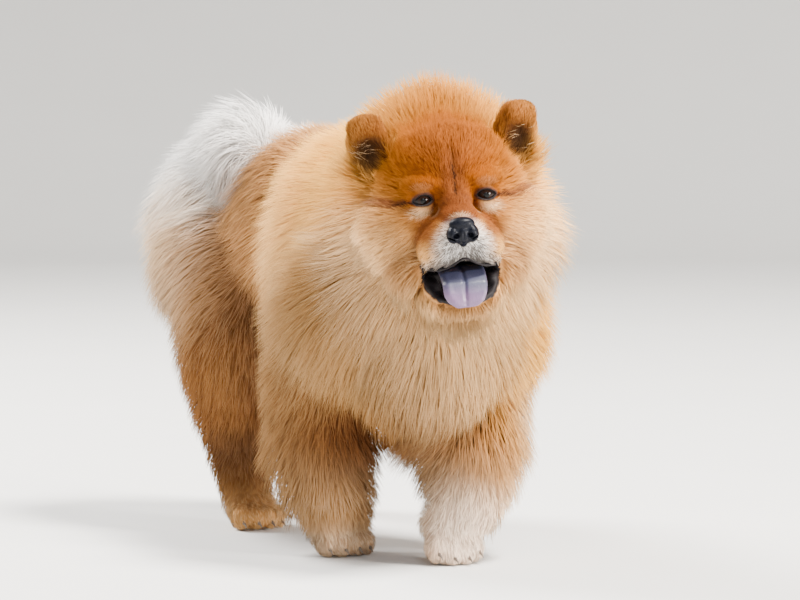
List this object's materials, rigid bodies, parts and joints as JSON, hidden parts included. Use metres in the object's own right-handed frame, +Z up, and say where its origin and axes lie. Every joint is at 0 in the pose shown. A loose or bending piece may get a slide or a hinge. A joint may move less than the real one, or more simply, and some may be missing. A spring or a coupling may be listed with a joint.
{
  "type": "chow chow dog",
  "caption": "Life-size rough-coated chow chow walking with its head turned, mouth open and tongue out, and its tail curled over the back.",
  "frame": {"origin": "on the floor, under the middle of the dog's bounding box", "axes": "+Z up; the dog faces -Y and its left side is at +X"},
  "size_m": [0.3982, 0.8127, 0.5999],
  "materials": {
    "head": "short orange fur",
    "ruff": "long golden fur",
    "body": "long orange fur",
    "tail": "long cream-white fur",
    "foreleg": "golden fur",
    "hindleg": "rust fur",
    "paw": "short cream fur",
    "ear": "short velvety fur",
    "eye": "wet dark brown",
    "nose": "damp black leather",
    "lip": "damp black skin",
    "tongue": "wet blue-grey skin"
  },
  "bodies": {
    "root": {"head": "head", "neck": "ruff", "torso": "body", "tail": "tail", "right_foreleg": "foreleg", "left_foreleg": "foreleg", "right_hindleg": "hindleg", "left_hindleg": "hindleg", "right_forepaw": "paw", "left_forepaw": "paw", "right_hindpaw": "paw", "left_hindpaw": "paw", "right_ear": "ear", "left_ear": "ear", "right_eye": "eye", "left_eye": "eye", "nose": "nose", "lower_jaw": "lip", "tongue": "tongue"}
  },
  "joints": []
}
